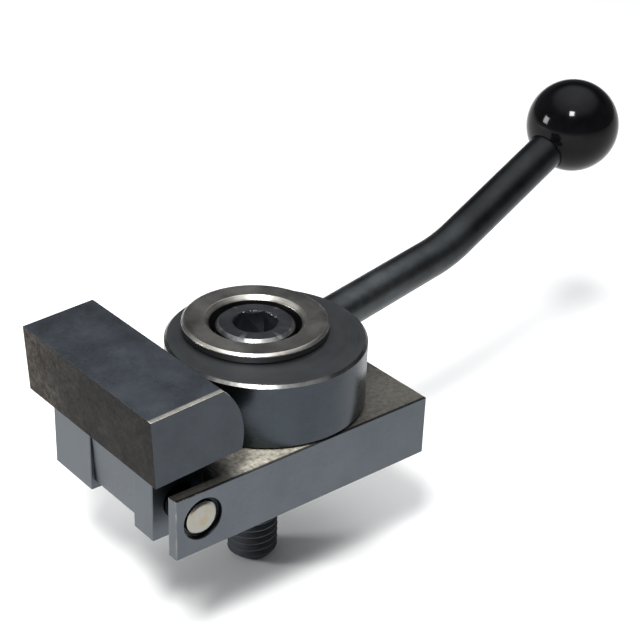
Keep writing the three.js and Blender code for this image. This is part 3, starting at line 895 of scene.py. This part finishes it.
class EDGECLAMP_OT_screw(bpy.types.Operator):
    """Makes the socket head cap screw: head, hex socket with a countersunk mouth, and thread"""

    bl_idname = "edgeclamp.screw"
    bl_label = "Clamp screw"

    HEAD_LOW = 20.8 * MM
    THREAD_R = 6.35 * MM
    THREAD_TOP = -1.5 * MM

    def execute(self, context):
        sizes = context.scene.clamp_sizes
        top = SCREW_TOP
        rim = 0.8 * MM
        screw = turned("screw", [
            (0, self.THREAD_TOP),
            (self.THREAD_R * 0.86, self.THREAD_TOP),
            (self.THREAD_R, self.THREAD_TOP + MM),
            (self.THREAD_R, self.HEAD_LOW),
            (SCREW_HEAD_R, self.HEAD_LOW),
            (SCREW_HEAD_R, top - rim),
            (SCREW_HEAD_R - rim, top),
            (0, top),
        ], 120)
        socket_r = sizes.hex_flats / math.sqrt(3)
        socket = bar("hex", socket_r, (0, 0, top - sizes.hex_depth), (0, 0, top + MM), 6)
        combine(screw, socket, "DIFFERENCE")
        mouth = turned("mouth", [
            (0, top - 1.3 * MM),
            (socket_r - 1.3 * MM, top - 1.3 * MM),
            (socket_r + 0.3 * MM, top + 0.3 * MM),
            (0, top + 0.3 * MM),
        ], 96)
        combine(screw, mouth, "DIFFERENCE")
        soften(screw, 0.2 * MM, 2, 28)
        combine(screw, self.thread(sizes.thread_pitch), "UNION")
        edit_all()
        bpy.ops.mesh.remove_doubles(threshold=2 * TOUCHING)
        leave_edit()
        smooth(screw)
        finish = black_screw_steel(context.scene.clamp_colours)
        finish_piece(screw, "base", "clamp_screw", finish)
        return {"FINISHED"}

    def thread(self, pitch):
        """One pitch of the thread's outline, wound down the shank and trimmed to a chamfered end."""
        crest = self.THREAD_R
        root = crest - 0.6 * pitch
        start = SCREW_LOW.z - pitch
        turns = math.ceil((self.THREAD_TOP - SCREW_LOW.z) / pitch) + 3
        outline = [(root, 0), (root, 0.12), (crest, 0.44), (crest, 0.56), (root, 0.88), (root, 1)]
        made = draw_section("thread", [(r, start + share * pitch) for r, share in outline])
        leave_edit()
        wind = made.modifiers.new("wind", "SCREW")
        wind.angle = 2 * math.pi
        wind.screw_offset = pitch
        wind.iterations = turns
        wind.steps = 48
        wind.render_steps = 48
        wind.use_merge_vertices = True
        wind.merge_threshold = TOUCHING
        activate(made)
        bpy.ops.object.modifier_apply(modifier=wind.name)
        edit_all()
        bpy.ops.mesh.remove_doubles(threshold=TOUCHING)
        bpy.ops.mesh.select_all(action="DESELECT")
        bpy.ops.mesh.select_mode(type="EDGE")
        bpy.ops.mesh.select_non_manifold()
        bpy.ops.mesh.fill_holes(sides=0)
        face_outward()
        leave_edit()
        end = SCREW_LOW.z
        trim = turned("trim", [
            (0, end),
            (crest - 2.1 * MM, end),
            (crest, end + 1.9 * MM),
            (crest, self.THREAD_TOP + 0.5 * MM),
            (0, self.THREAD_TOP + 0.5 * MM),
        ], 96)
        return combine(made, trim, "INTERSECT")


class EDGECLAMP_OT_cam(bpy.types.Operator):
    """Turns the eccentric cam disc, bored off centre and drilled for the lever"""

    bl_idname = "edgeclamp.cam"
    bl_label = "Cam disc"

    def execute(self, context):
        sizes = context.scene.clamp_sizes
        bevel = sizes.cam_chamfer
        low, high = CAM_LOW.z, CAM_TOP
        cam = turned("cam", [
            (0, low),
            (CAM_R - bevel, low),
            (CAM_R, low + bevel),
            (CAM_R, high - bevel),
            (CAM_R - bevel, high),
            (0, high),
        ], 180)
        place(cam, (CAM_CENTRE.x, CAM_CENTRE.y, 0))
        combine(cam, bar("bore", 13.7 * MM, Z * (low - MM), Z * (high + MM), 128), "DIFFERENCE")
        line = lever_line(sizes)
        hole_end = line["start"] + line["lower"] * 30 * MM
        combine(cam, bar("lever_hole", sizes.lever_r + 0.1 * MM, line["start"], hole_end), "DIFFERENCE")
        soften(cam, 0.2 * MM, 2)
        finish = turned_cam_steel(context.scene.clamp_colours)
        finish_piece(cam, "cam_lever", "cam_disc", finish)
        return {"FINISHED"}


LEVER_HEIGHT = 23.3 * MM
LEVER_START = 15.2 * MM
LEVER_BEND_REACH = 64.6 * MM
LEVER_BEND_RUN = 5.2 * MM


def lever_line(sizes):
    """The lever's centre line: where it starts, bends and ends, and the way each run goes."""
    way = Matrix.Rotation(sizes.lever_azimuth, 3, "Z")
    lower = way @ Vector((math.cos(sizes.lever_rise_1), 0, math.sin(sizes.lever_rise_1)))
    upper = way @ Vector((math.cos(sizes.lever_rise_2), 0, math.sin(sizes.lever_rise_2)))
    origin = Z * LEVER_HEIGHT
    corner = origin + lower * (LEVER_BEND_REACH / math.cos(sizes.lever_rise_1))
    return {
        "lower": lower,
        "upper": upper,
        "start": origin + lower * LEVER_START,
        "bend_start": corner - lower * LEVER_BEND_RUN,
        "bend_end": corner + upper * LEVER_BEND_RUN,
        "turn": sizes.lever_rise_2 - sizes.lever_rise_1,
        "across": upper.cross(lower).normalized(),
    }


class EDGECLAMP_OT_lever(bpy.types.Operator):
    """Draws out the lever: a straight run, a bend and a second run that ends inside the knob"""

    bl_idname = "edgeclamp.lever"
    bl_label = "Lever"

    SHOULDER = 9.5 * MM
    TIP_R = 3 * MM
    TIP_LENGTH = 10 * MM

    def execute(self, context):
        sizes = context.scene.clamp_sizes
        line = lever_line(sizes)
        deselect()
        bpy.ops.mesh.primitive_circle_add(
            vertices=64, radius=sizes.lever_r, fill_type="NGON",
            location=line["start"], rotation=facing(line["lower"]),
        )
        lever = settle(bpy.context.object)
        lever.name = "lever"
        edit_all()
        self.draw_out(line["bend_start"] - line["start"], 8)
        radius = LEVER_BEND_RUN / math.tan(line["turn"] / 2)
        inward = line["across"].cross(line["lower"]).normalized()
        if inward.z < 0:
            inward = -inward
        centre = line["bend_start"] + inward * radius
        bpy.ops.mesh.spin(steps=12, angle=line["turn"], center=centre, axis=line["across"])
        shoulder = KNOB_CENTRE - line["upper"] * self.SHOULDER
        self.draw_out(shoulder - line["bend_end"], 8)
        bpy.ops.mesh.inset(thickness=sizes.lever_r - self.TIP_R)
        self.draw_out(line["upper"] * self.TIP_LENGTH, 1)
        face_outward()
        leave_edit()
        soften(lever, 0.3 * MM, 2, 40)
        finish = oiled_lever_steel(context.scene.clamp_colours)
        finish_piece(lever, "cam_lever", "lever_rod", finish)
        return {"FINISHED"}

    def draw_out(self, along, steps):
        for _ in range(steps):
            bpy.ops.mesh.extrude_region_move(TRANSFORM_OT_translate={"value": along / steps})


class EDGECLAMP_OT_knob(bpy.types.Operator):
    """Moulds the ball knob, with the socket that the lever enters"""

    bl_idname = "edgeclamp.knob"
    bl_label = "Ball knob"

    SOCKET_FLOOR = -9.3 * MM
    BUSH_HOLE_R = 4.5 * MM
    BUSH_HOLE_END = 3.1 * MM

    def execute(self, context):
        sizes = context.scene.clamp_sizes
        upper = lever_line(sizes)["upper"]
        deselect()
        bpy.ops.mesh.primitive_uv_sphere_add(
            segments=96, ring_count=64, radius=KNOB_R, location=KNOB_CENTRE, rotation=facing(upper),
        )
        knob = settle(bpy.context.object)
        knob.name = "knob"
        socket_r = sizes.lever_r + 0.12 * MM
        drill = turned("drill", [
            (0, -2 * KNOB_R),
            (socket_r, -2 * KNOB_R),
            (socket_r, self.SOCKET_FLOOR),
            (self.BUSH_HOLE_R, self.SOCKET_FLOOR),
            (self.BUSH_HOLE_R, self.BUSH_HOLE_END),
            (0, self.BUSH_HOLE_END),
        ], 60)
        combine(knob, place(drill, KNOB_CENTRE, facing(upper)), "DIFFERENCE")
        soften(knob, 0.12 * MM, 2, 35)
        finish = moulded_phenolic(context.scene.clamp_colours)
        finish_piece(knob, "cam_lever", "ball_knob", finish)
        return {"FINISHED"}


class EDGECLAMP_OT_inner_parts(bpy.types.Operator):
    """Finishes the plunger, the return spring and the knob's bush, which keep their shapes"""

    bl_idname = "edgeclamp.inner_parts"
    bl_label = "Spring, plunger and bush"

    def execute(self, context):
        steel = drawn_spring_steel()
        brass = turned_brass()
        finishes = {"spring_plunger": steel, "return_spring": steel, "knob_insert": brass}
        for name, finish in finishes.items():
            mesh = frame["nodes"][name].data
            mesh.materials.clear()
            mesh.materials.append(finish)
        return {"FINISHED"}


# ---- Studio ----

class EDGECLAMP_OT_stage(bpy.types.Operator):
    """Lays the pale floor, and sets the soft lights, the surroundings and the camera"""

    bl_idname = "edgeclamp.stage"
    bl_label = "Studio"

    LOOK_AT = Vector((16.1, -4.6, 31.4)) * MM

    def execute(self, context):
        self.floor(context)
        self.lights()
        self.surroundings(context)
        self.camera(context)
        context.scene.view_settings.view_transform = "Standard"
        return {"FINISHED"}

    def floor(self, context):
        deselect()
        bpy.ops.mesh.primitive_plane_add(size=60, location=(0, 0, CAD_BOX[0].z - 0.2 * MM))
        floor = settle(bpy.context.object)
        floor.name = "floor"
        floor.data.materials.append(pale_floor(context.scene.clamp_colours))

    def area(self, name, towards, distance, size, watts):
        """A square soft light, shining at the clamp from a direction."""
        deselect()
        towards = Vector(towards).normalized()
        bpy.ops.object.light_add(type="AREA", location=self.LOOK_AT + towards * distance,
                                 rotation=facing(towards))
        light = bpy.context.object
        light.name = name
        light.data.shape = "SQUARE"
        light.data.size = size
        light.data.energy = watts

    def lights(self):
        self.area("lamp_over_camera", (-0.46, -0.37, 0.81), 0.87, 0.17, 8)
        self.area("window_left", (-0.8, 0.58, 0.25), 1.2, 0.3, 8)

    def surroundings(self, context):
        """A dim room with a glowing ceiling and a pale horizon, and plain white behind the clamp."""
        world = bpy.data.worlds.new("room")
        context.scene.world = world
        world.use_nodes = True
        tree = world.node_tree
        tree.nodes.clear()
        way = node(tree, "TexCoord", output="Generated")
        height = node(tree, "SeparateXYZ", {"Vector": way}, "Z")
        walls = node(tree, "MapRange", {"Value": height, "From Min": 0.0, "From Max": 0.5})
        tones = {"Color1": linear("#E4E6E8"), "Color2": linear("#6A6D72")}
        tone = node(tree, "MixRGB", {"Fac": walls, **tones})
        ceiling = node(tree, "MapRange", {"Value": height, "From Min": 0.55, "From Max": 0.75})
        tone = node(tree, "MixRGB", {"Fac": ceiling, "Color1": tone, "Color2": linear("#F4F5F7")})
        spans = {"From Min": 0.62, "From Max": 1.0, "To Min": 0.23, "To Max": 2.3}
        glow = node(tree, "MapRange", {"Value": height, **spans})
        room = node(tree, "Background", {"Color": tone, "Strength": glow})
        backdrop = node(tree, "Background", {"Color": linear("#FFFFFF"), "Strength": 1.0})
        seen = node(tree, "LightPath", output="Is Camera Ray")
        both = node(tree, "MixShader", {0: seen, 1: room, 2: backdrop})
        node(tree, "OutputWorld", {"Surface": both})

    def camera(self, context):
        stage = context.scene.clamp_stage
        deselect()
        flat = math.cos(stage.elevation)
        back = Vector((
            math.sin(stage.azimuth) * flat,
            -math.cos(stage.azimuth) * flat,
            math.sin(stage.elevation),
        ))
        bpy.ops.object.camera_add(location=self.LOOK_AT + back * stage.distance)
        camera = bpy.context.object
        turn = back.to_track_quat("Z", "Y").to_matrix() @ Matrix.Rotation(stage.roll, 3, "Z")
        camera.rotation_euler = turn.to_euler()
        camera.data.lens = stage.focal_mm
        camera.data.sensor_width = 36
        camera.data.clip_start = 0.01
        context.scene.camera = camera


class EDGECLAMP_PT_sidebar(bpy.types.Panel):
    """Lists the operators, sizes and colours in the sidebar"""

    bl_idname = "EDGECLAMP_PT_sidebar"
    bl_label = "Edge Clamp"
    bl_space_type = "VIEW_3D"
    bl_region_type = "UI"
    bl_category = "Edge Clamp"

    def draw(self, context):
        for step in BUILD_ORDER:
            self.layout.operator(step.bl_idname)
        for group in (context.scene.clamp_sizes, context.scene.clamp_colours, context.scene.clamp_stage):
            box = self.layout.box()
            for name in group.__annotations__:
                box.prop(group, name)


BUILD_ORDER = (
    EDGECLAMP_OT_base,
    EDGECLAMP_OT_jaw,
    EDGECLAMP_OT_pin,
    EDGECLAMP_OT_hub,
    EDGECLAMP_OT_screw,
    EDGECLAMP_OT_cam,
    EDGECLAMP_OT_lever,
    EDGECLAMP_OT_knob,
    EDGECLAMP_OT_inner_parts,
    EDGECLAMP_OT_stage,
)
GROUPS = {"clamp_sizes": ClampSizes, "clamp_colours": ClampColours, "clamp_stage": ClampStage}


def register():
    for kind in (*GROUPS.values(), *BUILD_ORDER, EDGECLAMP_PT_sidebar):
        bpy.utils.register_class(kind)
    for name, group in GROUPS.items():
        setattr(bpy.types.Scene, name, bpy.props.PointerProperty(type=group))


def unregister():
    for name in GROUPS:
        delattr(bpy.types.Scene, name)
    for kind in (EDGECLAMP_PT_sidebar, *BUILD_ORDER, *GROUPS.values()):
        bpy.utils.unregister_class(kind)


def main():
    register()
    for step in BUILD_ORDER:
        family, name = step.bl_idname.split(".")
        getattr(getattr(bpy.ops, family), name)()


if __name__ == "__main__":
    main()
